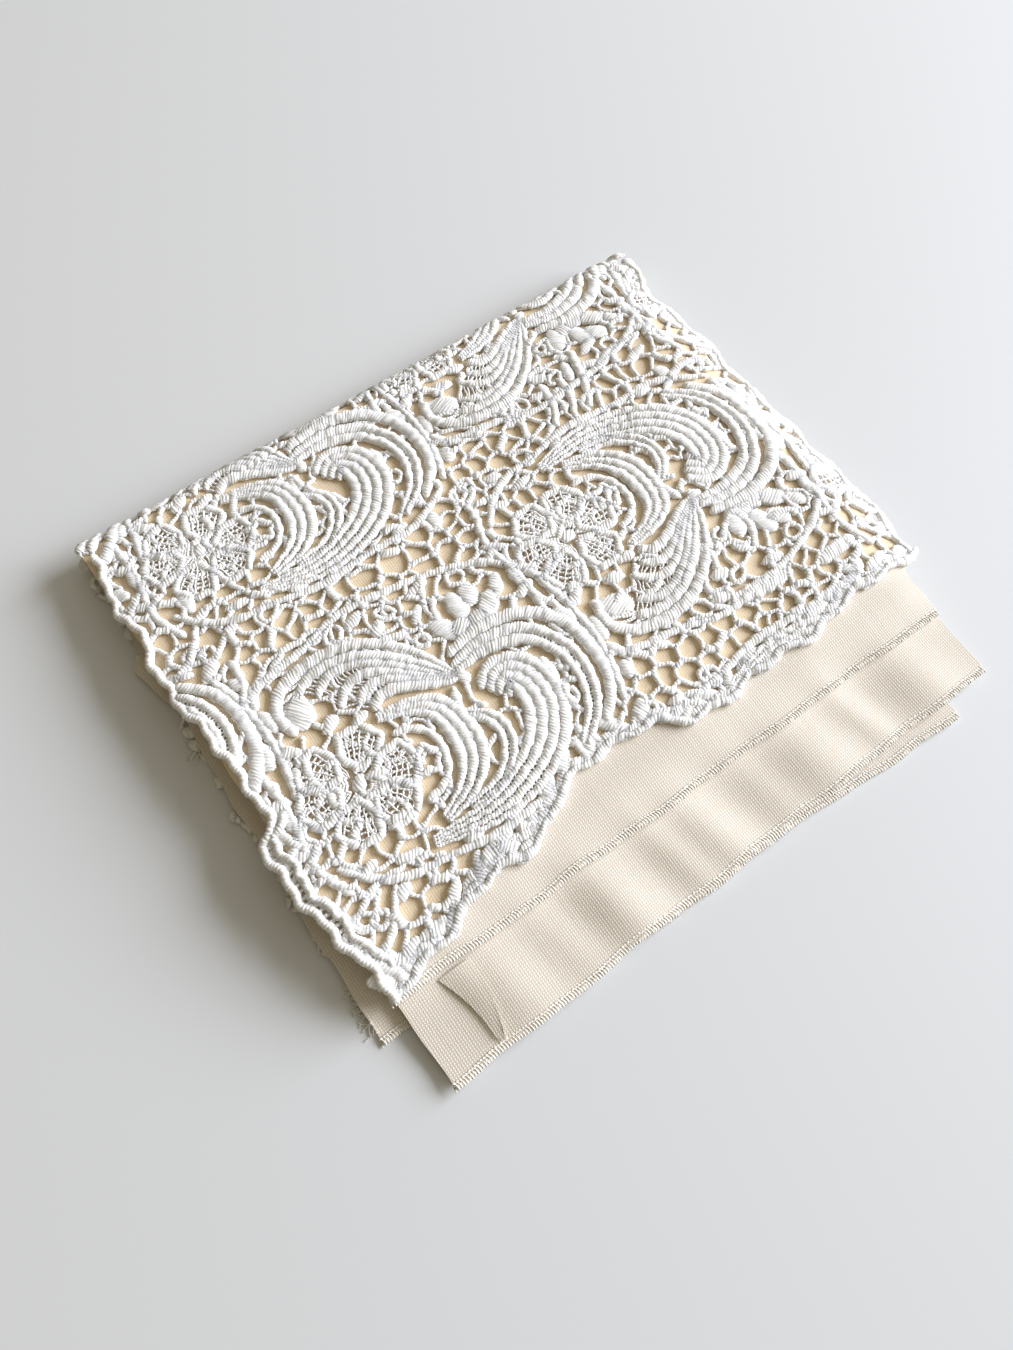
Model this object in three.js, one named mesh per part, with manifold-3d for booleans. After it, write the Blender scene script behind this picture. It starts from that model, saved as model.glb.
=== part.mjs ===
// Ring bearer pillow: a lace-over-lining cover, folded in half over a thin wadding pad.
// Millimetres, +Z up, origin at the bottom centre. X runs along the fold, the fold is at +Y,
// the hems are at -Y. The lower half (base) lies flat and the upper half (flap) opens at the fold.
import * as THREE from "three";
import { mergeVertices } from "three/addons/utils/BufferGeometryUtils.js";
import Module from "manifold-3d";

const wasm = await Module();
wasm.setup();

// ---- driving dimensions ----
const coverWidth = 176; // overall, along the fold
const coverDepth = 160; // overall, fold to outermost hem
const laceThickness = 1.4;
const liningThickness = 0.5;
const padCoverThickness = 0.5;
const gap = 0.3; // between cloth layers that lie on each other
const overlockWidth = 2.4;
const overlockThickness = 1.1;
const cordDiameter = 2.6; // satin cord on the lace's left side
const foldOpening = 4.2; // free height inside the fold, for the back edge of the pad
const padEdgeThickness = 1;
const padCrown = 2.6; // extra thickness of the wadding at its middle
const padEase = 0.7; // slack between the wadding and the top of its cover
const padLeftInset = 10; // the pad's sides, in from the cover's overall width
const padRightInset = 16;
const padBackInset = 10; // from the fold line to the pad
const padFrontInset = 37; // from the outermost hem to the pad
const clothSlope = 0.45; // steepest slope at which cloth comes down off an edge below it

// Hems, each as its distance back from the outermost hem.
const baseInnerHem = 0;
const flapInnerHem = 1; // at the left; it climbs by flapHemRise towards the right
const flapHemRise = 3.6;
const baseHem = 17;
const flapTopHem = 21.5;
const baseLaceFront = 25;
const laceCorner = 22; // the lace's front left corner, its lowest point
const turnbackReach = 16; // how far the turned corner comes out from under the lace

// Side edges, each as its distance in from the cover's overall width.
const laceSide = 2;
const liningRight = 11;
const baseInnerRight = 24;
const liningLeftBack = 3;
const liningLeftFront = 9.5;

const left = -coverWidth / 2;
const right = coverWidth / 2;
const front = -coverDepth / 2;
const back = coverDepth / 2;

// ---- materials ----
const cloth = (color, roughness) => new THREE.MeshStandardMaterial({ color, roughness, metalness: 0 });
const laceMaterial = () => cloth(0xf4f0e8, 0.75);
const liningMaterial = () => cloth(0xefe6d4, 0.85);
const threadMaterial = () => cloth(0xf6f2ea, 0.65);
const wadding = () => cloth(0xf5f3ee, 0.95);
const ticking = () => cloth(0xf0ebe0, 0.9);

// ---- the fold: three nested half rings about one line ----
const foldRing = (inner, thickness) => ({ inner, outer: inner + thickness });
const innerRing = foldRing(foldOpening / 2, liningThickness);
const liningRing = foldRing(innerRing.outer + gap, liningThickness);
const laceRing = foldRing(liningRing.outer + gap, laceThickness);
const foldZ = laceRing.outer;
const foldY = back - laceRing.outer - gap / 2;

// ---- heights of the draped layers, at stations along Y ----
const stationStep = 5;
const stationCount = Math.round((foldY - front) / stationStep) + 1;
const stationAt = (i) => front + (i * (foldY - front)) / (stationCount - 1);
const stations = Array.from({ length: stationCount }, (_, i) => stationAt(i));
const stackTop = stations.map(() => -gap);

// Underside of cloth that lies on the stack: it touches the stack's high points and comes down
// from each of them no steeper than clothSlope. Up to hemEnd it leaves room for its overlock.
function drapeHeights(hemEnd, foldHeight) {
  const hemClearance = (overlockThickness - liningThickness) / 2;
  const need = stations.map((y, i) => stackTop[i] + gap + (y < hemEnd ? hemClearance : 0));
  need[stationCount - 1] = foldHeight;
  const comingDown = (y) => need.map((z, j) => z - clothSlope * Math.abs(y - stations[j]));
  return stations.map((y) => Math.max(...comingDown(y)));
}

function heightAt(heights, y) {
  const t = Math.min(Math.max((y - front) / (foldY - front), 0), 1) * (stationCount - 1);
  const i = Math.min(Math.floor(t), stationCount - 2);
  return heights[i] + (heights[i + 1] - heights[i]) * (t - i);
}

// Records a hemmed lining on top of the stack, with the overlock that lies at hemZ.
function raiseStack(heights, yFront, hemZ) {
  stations.forEach((y, i) => {
    if (y < yFront - stationStep) return;
    const bandTop = y < yFront + 2 * stationStep ? hemZ + overlockThickness / 2 : 0;
    stackTop[i] = Math.max(stackTop[i], heights[i] + liningThickness, bandTop);
  });
}

// ---- solids ----
function solidOf(mesh) {
  mesh.updateMatrixWorld(true);
  const bare = mesh.geometry.clone().applyMatrix4(mesh.matrixWorld);
  bare.deleteAttribute("normal");
  bare.deleteAttribute("uv");
  const merged = mergeVertices(bare, 1e-4);
  const triVerts = new Uint32Array(merged.index.array);
  const vertProperties = merged.attributes.position.array;
  return new wasm.Manifold(new wasm.Mesh({ numProp: 3, vertProperties, triVerts }));
}

function meshOf(name, solid, material) {
  const { vertProperties, triVerts } = solid.getMesh();
  const geometry = new THREE.BufferGeometry();
  geometry.setAttribute("position", new THREE.BufferAttribute(vertProperties, 3));
  geometry.setIndex(new THREE.BufferAttribute(triVerts, 1));
  const mesh = new THREE.Mesh(geometry, material);
  mesh.name = name;
  return mesh;
}

// A Y-Z profile carried along X from xLeft to xRight.
function alongFold(name, points, xLeft, xRight, material) {
  const shape = new THREE.Shape(points.map(([y, z]) => new THREE.Vector2(y, z)));
  const geometry = new THREE.ExtrudeGeometry(shape, { depth: xRight - xLeft, bevelEnabled: false });
  const mesh = new THREE.Mesh(geometry, material);
  mesh.name = name;
  mesh.rotation.set(Math.PI / 2, Math.PI / 2, 0);
  mesh.position.x = xLeft;
  return mesh;
}

// A plan outline carried straight up through the whole stack.
function prism(outline) {
  const shape = new THREE.Shape(outline.map(([x, y]) => new THREE.Vector2(x, y)));
  const geometry = new THREE.ExtrudeGeometry(shape, { depth: 60, bevelEnabled: false });
  const mesh = new THREE.Mesh(geometry);
  mesh.position.z = -20;
  return solidOf(mesh);
}

// A cloth layer: a draped slab of even thickness, cut to its plan outline.
function clothLayer(name, outline, heights, thickness, material) {
  const ends = [front - stationStep, ...stations.slice(1, -1), foldY - gap / 2];
  const under = ends.map((y) => [y, heightAt(heights, y)]);
  const over = under.map(([y, z]) => [y, z + thickness]).reverse();
  const slab = alongFold(name, [...under, ...over], left - 1, right + 1, material);
  return meshOf(name, solidOf(slab).intersect(prism(outline)), material);
}

// The thread band over a hem: a flat oval section along the hem line.
function overlock(name, start, end, z) {
  const sides = 10;
  const oval = Array.from({ length: sides }, (_, i) => {
    const a = ((i + 0.5) * 2 * Math.PI) / sides;
    return [overlockWidth / 2 * (1 + Math.cos(a)), (overlockThickness / 2) * Math.sin(a)];
  });
  const run = Math.hypot(end[0] - start[0], end[1] - start[1]);
  const band = alongFold(name, oval, 0, run, threadMaterial());
  const holder = new THREE.Group();
  holder.position.set(start[0], start[1], z);
  holder.rotation.z = Math.atan2(end[1] - start[1], end[0] - start[0]);
  holder.add(band);
  return holder;
}

// A half ring about the fold line, from the base layers round to the flap layers.
function foldWrap(name, ring, xLeft, xRight, material) {
  const steps = 12;
  const startAngle = -Math.PI / 2;
  const arc = (r) =>
    Array.from({ length: steps + 1 }, (_, i) => {
      const a = startAngle + (i * Math.PI) / steps;
      return [foldY + gap / 2 + r * Math.cos(a), foldZ + r * Math.sin(a)];
    });
  return alongFold(name, [...arc(ring.outer), ...arc(ring.inner).reverse()], xLeft, xRight, material);
}

// A box whose grid lines stand at xs and ys and whose two faces follow low(x, y) and high(x, y).
function gridSlab(name, xs, ys, low, high, material) {
  const geometry = new THREE.BoxGeometry(1, 1, 1, xs.length - 1, ys.length - 1, 1);
  const p = geometry.attributes.position;
  for (let i = 0; i < p.count; i++) {
    const x = xs[Math.round((p.getX(i) + 0.5) * (xs.length - 1))];
    const y = ys[Math.round((p.getY(i) + 0.5) * (ys.length - 1))];
    p.setXYZ(i, x, y, p.getZ(i) > 0 ? high(x, y) : low(x, y));
  }
  geometry.computeVertexNormals();
  const mesh = new THREE.Mesh(geometry, material);
  mesh.name = name;
  return mesh;
}

const base = new THREE.Group();
const flap = new THREE.Group();

// ---- base: lace, two linings with their overlocks ----
function hemLine(distance, xLeft, xRight, rise = 0) {
  return [[xLeft, front + distance], [xRight, front + distance + rise]];
}
const hemInset = overlockWidth + gap;

const baseLaceY = front + baseLaceFront;
const baseLaceHeights = stations.map(() => 0);
const baseLaceOutline = [
  [left, baseLaceY + 6],
  [left + 5, baseLaceY],
  [left + 0.4 * coverWidth, baseLaceY + 3],
  [left + 0.67 * coverWidth, baseLaceY],
  [right, baseLaceY + 4],
  [right, baseLaceY + 40],
  [right - laceSide, back],
  [left + laceSide, back],
];
base.add(clothLayer("base_lace", baseLaceOutline, baseLaceHeights, laceThickness, laceMaterial()));
stations.forEach((y, i) => (stackTop[i] = y > baseLaceY - stationStep ? laceThickness : -gap));

const ringUnder = (ring) => foldZ - ring.outer;
const ringOver = (ring) => foldZ + ring.inner;

// A hemmed lining and its overlock, on top of the stack; the outline's first two points are its hem.
function hemmedLining(group, name, overlockName, hem, sides, foldHeight) {
  const yFront = Math.min(hem[0][1], hem[1][1]);
  const heights = drapeHeights(yFront + 2 * stationStep, foldHeight);
  const outline = [[hem[0][0], hem[0][1] + hemInset], [hem[1][0], hem[1][1] + hemInset], ...sides];
  group.add(clothLayer(name, outline, heights, liningThickness, liningMaterial()));
  const clothMiddle = heightAt(heights, yFront + overlockWidth) + liningThickness / 2;
  const hemZ = Math.max(clothMiddle, overlockThickness / 2);
  group.add(overlock(overlockName, hem[0], hem[1], hemZ));
  raiseStack(heights, yFront, hemZ);
  return heights;
}

const baseHemLine = hemLine(baseHem, left + 2, right - liningRight);
const baseSides = [[right - liningRight, back], [left + liningLeftBack, back]];
hemmedLining(base, "base_lining", "base_overlock", baseHemLine, baseSides, ringUnder(liningRing));

const baseInnerHemLine = hemLine(baseInnerHem, left + liningLeftFront + 1, right - baseInnerRight);
const baseInnerSides = [[right - baseInnerRight, back], [left + liningLeftBack + 1, back]];
const baseInnerFold = ringUnder(innerRing);
hemmedLining(base, "base_inner_lining", "base_inner_overlock",
  baseInnerHemLine, baseInnerSides, baseInnerFold);

// ---- pad: wadding between two cover shells ----
const padWidth = coverWidth - padLeftInset - padRightInset;
const padFront = front + padFrontInset;
const padDepth = foldY - padBackInset - padFront;
const padX = left + padLeftInset + padWidth / 2;
const padY = padFront + padDepth / 2;
const padFloor = Math.max(...stackTop.filter((_, i) => stations[i] > padFront - stationStep)) + gap;
const padSteps = 10;
const spread = (centre, half) =>
  Array.from({ length: padSteps + 1 }, (_, i) => centre - half + (2 * half * i) / padSteps);
const padXs = spread(padX, padWidth / 2);
const padYs = spread(padY, padDepth / 2);
const bulge = (t) => Math.max(0, 1 - Math.abs(t) ** 4);
const waddingLow = padFloor + padCoverThickness + gap;
function waddingTop(x, y) {
  const crown = padCrown * bulge((x - padX) / (padWidth / 2)) * bulge((y - padY) / (padDepth / 2));
  return waddingLow + padEdgeThickness + crown;
}
const coverRim = 2.2; // how far the cover's seam stands out past the wadding
function withRim(values) {
  const [first, last] = [values[0], values.at(-1)];
  return [first - coverRim, first - gap, ...values, last + gap, last + coverRim];
}
const coverXs = withRim(padXs);
const coverYs = withRim(padYs);
const isEnd = (values, v) => v === values[0] || v === values.at(-1);
const onRim = (x, y) => isEnd(coverXs, x) || isEnd(coverYs, y);
const coverLow = (x, y) => (onRim(x, y) ? waddingLow : waddingTop(x, y) + padEase);
const coverHigh = (x, y) => coverLow(x, y) + padCoverThickness;
const bottomXs = [coverXs[0], coverXs.at(-1)];
const bottomYs = [coverYs[0], coverYs.at(-1)];
const bottomHigh = padFloor + padCoverThickness;
base.add(gridSlab("pad_cover_bottom", bottomXs, bottomYs, () => padFloor, () => bottomHigh, ticking()));
base.add(gridSlab("pad_wadding", padXs, padYs, () => waddingLow, waddingTop, wadding()));
base.add(gridSlab("pad_cover_top", coverXs, coverYs, coverLow, coverHigh, ticking()));
const padTopMiddle = (y) => coverLow(padX, Math.min(Math.max(y, padYs[0]), padYs.at(-1))) + padCoverThickness;
stations.forEach((y, i) => {
  if (y > coverYs[0] - stationStep && y < coverYs.at(-1) + stationStep) stackTop[i] = padTopMiddle(y);
});

// ---- flap: two linings with their overlocks, the lace, its cord and the turned corner ----
const flapInnerLine = hemLine(flapInnerHem, left + liningLeftFront, right - liningRight, flapHemRise);
const flapSides = [[right - liningRight, back], [left + liningLeftBack, back]];
const innerFold = ringOver(innerRing);
const flapInnerHeights =
  hemmedLining(flap, "flap_inner_lining", "flap_inner_overlock", flapInnerLine, flapSides, innerFold);

const turnbackX = left + liningLeftFront + 8;
const turnbackY = front + flapTopHem - gap;
const turnbackOutline = [
  [turnbackX, turnbackY],
  [turnbackX + 3, turnbackY - turnbackReach * 0.7],
  [turnbackX + 10, turnbackY - turnbackReach],
  [turnbackX + 7, turnbackY],
];
const turnbackHeights = flapInnerHeights.map((z) => z + liningThickness + gap);
flap.add(clothLayer("corner_turnback", turnbackOutline, turnbackHeights, liningThickness, liningMaterial()));

const flapTopLine = hemLine(flapTopHem, left + liningLeftFront - 1.5, right - liningRight);
hemmedLining(flap, "flap_top_lining", "flap_top_overlock", flapTopLine, flapSides, ringOver(liningRing));

// The lace's left edge wanders in and out; the cord lies along it. Each point is its distance
// in from the cover's side and its share of the way from the fold to the lace's front corner.
const sideEdge = [
  [5.5, 0], [4.7, 0.09], [3, 0.14], [5.6, 0.19], [4, 0.28], [4.2, 0.36], [6.2, 0.46], [7.4, 0.64],
  [3.2, 0.68], [4, 0.78], [6, 0.86], [8, 0.92], [10, 1],
];
const sideBack = foldY - 1.75;
const sideFront = front + laceCorner;
const sideCurve = new THREE.CatmullRomCurve3(
  sideEdge.map(([inset, share]) => {
    const y = sideBack + share * (sideFront - sideBack);
    return new THREE.Vector3(left + inset, y, 0);
  }));
const sideSteps = 40;
const cordPoints = sideCurve.getPoints(sideSteps);
const besideCord = cordPoints.map((p, i) => {
  const along = sideCurve.getTangent(i / sideSteps);
  const reach = cordDiameter / 2 + gap;
  return [p.x - along.y * reach, p.y + along.x * reach];
});

// The scalloped front: share of the way across the cover, and height above the front corner.
const scallops = [
  [0.114, 4], [0.2, 9], [0.29, 10.5], [0.364, 16.5], [0.455, 19], [0.511, 17], [0.557, 12.5],
  [0.67, 13.4], [0.75, 13.2], [0.818, 14.6], [0.892, 16], [0.977, 15.5],
];
const laceRight = right - laceSide;
const laceOutline = [
  ...besideCord,
  ...scallops.map(([share, rise]) => [left + share * coverWidth, sideFront + rise]),
  [laceRight, sideFront + 22],
  [laceRight - 3, sideFront + 38],
  [laceRight, sideFront + 63],
  [laceRight - 2, sideFront + 98],
  [laceRight, back],
  [besideCord[0][0], back],
];
const laceHeights = drapeHeights(front, ringOver(laceRing));
flap.add(clothLayer("lace_top", laceOutline, laceHeights, laceThickness, laceMaterial()));

const cordPath = new THREE.CatmullRomCurve3(
  cordPoints.map((p) => new THREE.Vector3(p.x, p.y, heightAt(laceHeights, p.y) + gap + cordDiameter / 2)));
const cordSides = 8;
const cordSection = new THREE.Shape(
  Array.from({ length: cordSides }, (_, i) => {
    const a = (i * 2 * Math.PI) / cordSides;
    return new THREE.Vector2((cordDiameter / 2) * Math.cos(a), (cordDiameter / 2) * Math.sin(a));
  }));
const cordShape = new THREE.ExtrudeGeometry(cordSection, { steps: sideSteps, extrudePath: cordPath });
const cord = new THREE.Mesh(cordShape, threadMaterial());
cord.name = "side_edge_cord";
flap.add(cord);

// ---- the three cloths where they turn round the fold ----
const fold = new THREE.Group();
const wrapLeft = left + liningLeftBack;
const wrapRight = right - liningRight;
fold.add(foldWrap("fold_lace", laceRing, left + laceSide, right - laceSide, laceMaterial()));
fold.add(foldWrap("fold_lining", liningRing, wrapLeft, wrapRight, liningMaterial()));
fold.add(foldWrap("fold_inner_lining", innerRing, wrapLeft + 1, wrapRight, liningMaterial()));

const pillow = new THREE.Group();
pillow.add(base, flap, fold);
export default pillow;
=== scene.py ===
import math

import bpy
import numpy as np
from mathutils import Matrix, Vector
from mathutils.geometry import delaunay_2d_cdt


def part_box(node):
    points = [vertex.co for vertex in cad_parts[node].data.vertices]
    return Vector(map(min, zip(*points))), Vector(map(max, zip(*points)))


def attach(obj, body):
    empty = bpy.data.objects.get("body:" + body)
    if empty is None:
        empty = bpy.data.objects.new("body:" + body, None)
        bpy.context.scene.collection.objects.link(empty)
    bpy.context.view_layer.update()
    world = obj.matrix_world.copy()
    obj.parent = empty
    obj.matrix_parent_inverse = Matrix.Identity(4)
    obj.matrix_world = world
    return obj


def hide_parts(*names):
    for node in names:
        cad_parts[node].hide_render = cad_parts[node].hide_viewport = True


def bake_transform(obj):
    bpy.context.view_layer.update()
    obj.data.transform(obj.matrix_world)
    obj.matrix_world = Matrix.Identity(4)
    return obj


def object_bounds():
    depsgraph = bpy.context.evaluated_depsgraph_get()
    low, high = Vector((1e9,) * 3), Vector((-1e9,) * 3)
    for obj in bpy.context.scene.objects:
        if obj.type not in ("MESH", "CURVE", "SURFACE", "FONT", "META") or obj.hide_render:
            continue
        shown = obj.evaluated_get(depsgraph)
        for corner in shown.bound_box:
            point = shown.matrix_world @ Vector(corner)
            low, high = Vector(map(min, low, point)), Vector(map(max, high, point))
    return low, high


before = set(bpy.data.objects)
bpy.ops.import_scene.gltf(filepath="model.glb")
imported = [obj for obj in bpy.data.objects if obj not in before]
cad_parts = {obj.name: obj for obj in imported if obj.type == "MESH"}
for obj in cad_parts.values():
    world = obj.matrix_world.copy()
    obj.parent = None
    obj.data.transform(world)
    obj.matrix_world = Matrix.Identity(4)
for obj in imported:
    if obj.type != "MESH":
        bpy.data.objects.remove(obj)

cad_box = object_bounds()

# ---- Studio: a pale table, soft daylight from one side, and the camera ----
# The cover lies on a plain pale table by a large window on its right. The walls on that side are
# bright, and those on the left are warm and dim.
mm = 0.001  # lengths below are in millimetres, and meshes are made in metres


def linear(code):
    """An sRGB hex colour as linear red, green, blue and 1: each channel has its display curve undone."""
    channels = np.array([int(code[i : i + 2], 16) for i in (1, 3, 5)]) / 255
    low = channels / 12.92
    high = ((channels + 0.055) / 1.055) ** 2.4
    return (*np.where(channels <= 0.04045, low, high).tolist(), 1.0)


def add(tree, kind, inputs=(), **settings):
    """Adds a shader node: settings go to its properties; an input given a socket is linked, and one
    given a value is set."""
    made = tree.nodes.new("ShaderNode" + kind)
    for key, value in settings.items():
        setattr(made, key, value)
    for key, value in dict(inputs).items():
        if isinstance(value, bpy.types.NodeSocket):
            tree.links.new(value, made.inputs[key])
        else:
            made.inputs[key].default_value = value
    return made


def blank_material(name):
    """A material with an empty node tree."""
    material = bpy.data.materials.new(name)
    material.use_nodes = True
    material.node_tree.nodes.clear()
    return material, material.node_tree


def lacquered_table():
    """Matt white lacquer on a table top: evenly pale and cool, with hardly any grain."""
    material, tree = blank_material("matt_white_lacquer")
    place = add(tree, "TexCoord").outputs["Object"]
    cloud = add(tree, "TexNoise", {"Vector": place, "Scale": 2.2, "Detail": 2.0})
    tint = add(tree, "Mix", {"Factor": cloud.outputs["Fac"], "A": linear("#DCDCDB"), "B": linear("#D7DADB")},
               data_type="RGBA")
    shader = add(tree, "BsdfPrincipled", {"Base Color": tint.outputs["Result"], "Roughness": 0.62})
    add(tree, "OutputMaterial", {"Surface": shader.outputs["BSDF"]})
    return material


table_half = 4000
table = bpy.data.meshes.new("table_top")
corners = [(-1, -1), (1, -1), (1, 1), (-1, 1)]
table.from_pydata([(x * table_half * mm, y * table_half * mm, 0) for x, y in corners], [], [(0, 1, 2, 3)])
table.materials.append(lacquered_table())
floor = bpy.data.objects.new("table_top", table)
bpy.context.scene.collection.objects.link(floor)

room = bpy.data.worlds.new("white_room")
room.use_nodes = True
room_tree = room.node_tree
toward = add(room_tree, "TexCoord").outputs["Generated"]
side_share = add(room_tree, "VectorMath", {0: toward, 1: (0.87, -0.2, 0.45)}, operation="DOT_PRODUCT")
lit_side = add(room_tree, "MapRange", {"Value": side_share.outputs["Value"], "From Min": -0.35,
                                       "From Max": 0.85}, interpolation_type="SMOOTHSTEP")
walls = add(room_tree, "Mix", {"Factor": lit_side.outputs["Result"], "A": (0.13, 0.1, 0.045, 1),
                               "B": (0.53, 0.5, 0.43, 1)}, data_type="RGBA")
room_tree.links.new(walls.outputs["Result"], room_tree.nodes["Background"].inputs["Color"])
room_tree.nodes["Background"].inputs["Strength"].default_value = 1.0
bpy.context.scene.world = room
bpy.context.scene.view_settings.view_transform = "Standard"


def window(name, place, width, height, power, colour):
    """A large soft light at place, facing the middle of the table."""
    light = bpy.data.lights.new(name, "AREA")
    light.shape = "RECTANGLE"
    light.size = width
    light.size_y = height
    light.energy = power
    light.color = linear(colour)[:3]
    lamp = bpy.data.objects.new(name, light)
    lamp.location = place
    lamp.rotation_euler = (-Vector(place)).to_track_quat("-Z", "Y").to_euler()
    bpy.context.scene.collection.objects.link(lamp)


window("side_window", (1.9, -0.6, 0.95), 1.7, 1.1, 97.0, "#EFF3FF")

box_middle = (cad_box[0] + cad_box[1]) / 2
look_at = Vector((box_middle.x - 0.0162, box_middle.y - 0.0086, 0))
turned = math.radians(-35.46)
raised = math.radians(65.43)
level = math.cos(raised)
backwards = Vector((math.sin(turned) * level, -math.cos(turned) * level, math.sin(raised)))
lens = bpy.data.cameras.new("camera")
lens.lens = 27.04
lens.clip_start = 0.01
camera = bpy.data.objects.new("camera", lens)
camera.location = look_at + backwards * 0.2449
camera.rotation_euler = (-backwards).to_track_quat("-Z", "Y").to_euler()
bpy.context.scene.collection.objects.link(camera)
bpy.context.scene.camera = camera


# ---- Lower lace panel ----
# Guipure lace: satin-stitched cords, ribs and leaves of white cotton joined by bars, with no net behind.
# One strip of it makes the whole cover: it starts at the scalloped front on top, goes round the back
# fold and comes forward underneath. This section lays out that strip and makes its lower panel.
def corners_of(node):
    """A CAD node's vertices, in millimetres."""
    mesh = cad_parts[node].data
    flat = np.empty(len(mesh.vertices) * 3, np.float32)
    mesh.vertices.foreach_get("co", flat)
    return flat.reshape(-1, 3).astype(float) / mm


wrap = corners_of("fold_lace")
fold_y = wrap[:, 1].min()  # where the cloth starts to turn over
fold_z = (wrap[:, 2].max() + wrap[:, 2].min()) / 2
fold_outer = (wrap[:, 2].max() - wrap[:, 2].min()) / 2
lace_thickness = corners_of("base_lace")[:, 2].max()
fold_inner = fold_outer - lace_thickness
fold_turn = math.pi * (fold_outer - lace_thickness / 2)  # strip taken up by the half turn
under_start = fold_y + fold_turn


def profile(node, top=False):
    """The height of a draped node's underside, or top, along Y: its lowest or highest vertex at each
    place, joined by straight lines and then averaged over a few millimetres."""
    found = corners_of(node)
    y = np.round(found[:, 1], 2)
    places = np.unique(y)
    pick = np.max if top else np.min
    heights = np.array([pick(found[y == place, 2]) for place in places])
    fine = np.arange(places[0] - 20, places[-1] + 20, 0.5)
    bell = np.exp(-0.5 * (np.arange(-10, 10.5, 0.5) / 3.5) ** 2)
    smooth = np.convolve(np.interp(fine, places, heights), bell / bell.sum(), "same")
    for end in (0, -1):
        miss = heights[end] - np.interp(places[end], fine, smooth)
        smooth = smooth + miss * np.exp(-(((fine - places[end]) / 5) ** 2))
    inside = (fine > places[0] - 8) & (fine < places[-1] + 8)
    return fine[inside], smooth[inside]


def spline(points, step, closed=False):
    """A smooth curve through the points (each stretch a cubic whose slopes come from the neighbours),
    cut into equal lengths of about one step."""
    p = np.asarray(points, float)
    if closed:
        p = np.vstack([p[-1], p, p[0], p[1]])
    else:
        p = np.vstack([2 * p[0] - p[1], p, 2 * p[-1] - p[-2]])
    t = np.linspace(0, 1, 20, endpoint=False)[:, None]
    a, b, c, d = (q[:, None] for q in (p[:-3], p[1:-2], p[2:-1], p[3:]))
    run = 0.5 * (2 * b + (c - a) * t + (2 * a - 5 * b + 4 * c - d) * t**2 + (3 * b - a - 3 * c + d) * t**3)
    run = np.vstack([run.reshape(-1, p.shape[1]), p[-2]])
    length = np.r_[0, np.cumsum(np.linalg.norm(np.diff(run, axis=0), axis=1))]
    at = np.linspace(0, length[-1], max(3, int(round(length[-1] / step)) + 1))
    return np.stack([np.interp(at, length, column) for column in run.T], 1)


stitch_step = 0.31  # half of one satin ridge; real satin threads are finer and are drawn this coarse


def cord(points, widths, closed=False, rise=None):
    """A satin-stitched cord: its line on the flat strip, its width along the line, and its height."""
    line = spline(points, stitch_step, closed)
    given = np.atleast_1d(np.asarray(widths, float))
    width = np.interp(np.linspace(0, 1, len(line)), np.linspace(0, 1, len(given)), given)
    high = 0.6 + 0.24 * width if rise is None else np.full(len(line), float(rise))
    return line, width * (1.1 if rise is None else 1), np.minimum(high, 1.4)


def leaf(x, y, length, width, turn):
    """A satin leaf: an oval pad whose width swells and closes along its length."""
    away = np.array([math.cos(turn), math.sin(turn)]) * length / 2
    line = spline([(x - away[0], y - away[1]), (x, y), (x + away[0], y + away[1])], stitch_step)
    t = np.linspace(-1, 1, len(line))
    swell = np.sqrt(np.maximum(1 - t**2, 0.03))
    return line, width * swell, 0.45 + 0.6 * swell


def zigzag(first, second):
    """A thread that crosses to and fro between two lines, joining them and leaving small holes."""
    n = min(len(first), len(second)) // 3
    if n < 4:
        return []
    t = np.linspace(0, 1, n)
    a = first[np.round(t * (len(first) - 1)).astype(int)]
    b = second[np.round(t * (len(second) - 1)).astype(int)]
    line = spline(np.where(np.arange(n)[:, None] % 2 == 0, a, b), 0.42)
    return [(line, np.full(len(line), 0.5), np.full(len(line), 0.8))]


def unit(vectors):
    """The vectors at length one."""
    return vectors / np.maximum(np.linalg.norm(vectors, axis=-1), 1e-9)[..., None]


def beside(ahead):
    """The direction to the left of a flat direction."""
    return np.stack([-ahead[:, 1], ahead[:, 0]], 1)


def ribbed_band(points, widths, ribs, head=0.5):
    """A broad satin scroll: ribs side by side, each with its share of the band's width. Over the head
    they are sewn close on a flat bed; beyond it they part, and a zigzag thread joins them."""
    line, width, _ = cord(points, widths)
    side = beside(unit(np.gradient(line, axis=0)))
    t = np.linspace(0, 1, len(line))
    parted = np.clip((t - head) / 0.15, 0, 1)
    share = width / ribs
    start = max(8, int(head * len(line)))
    bed = [(line[:start:2], width[:start:2] * 0.97, np.full(len(line[:start:2]), 0.95))]
    lying = []
    for k in range(ribs):
        away = (k - (ribs - 1) / 2) * share
        lying.append((line + side * away[:, None], share * (1.12 - 0.3 * parted),
                      0.84 + 0.13 * share + 0.1 * parted))
    joins = []
    for one, other in zip(lying[:-1], lying[1:]):
        joins += zigzag(one[0][start:], other[0][start:])
    return bed, lying, joins


def turned_by(turn, x, y):
    """Points turned by an angle about the origin."""
    return np.stack([x * math.cos(turn) - y * math.sin(turn), x * math.sin(turn) + y * math.cos(turn)], 1)


petals = [(-6.4, 7.6), (4.6, 7.4), (9.2, -1.4), (4.6, -8.4), (-5, -8), (-9.8, 0.6)]


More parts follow.
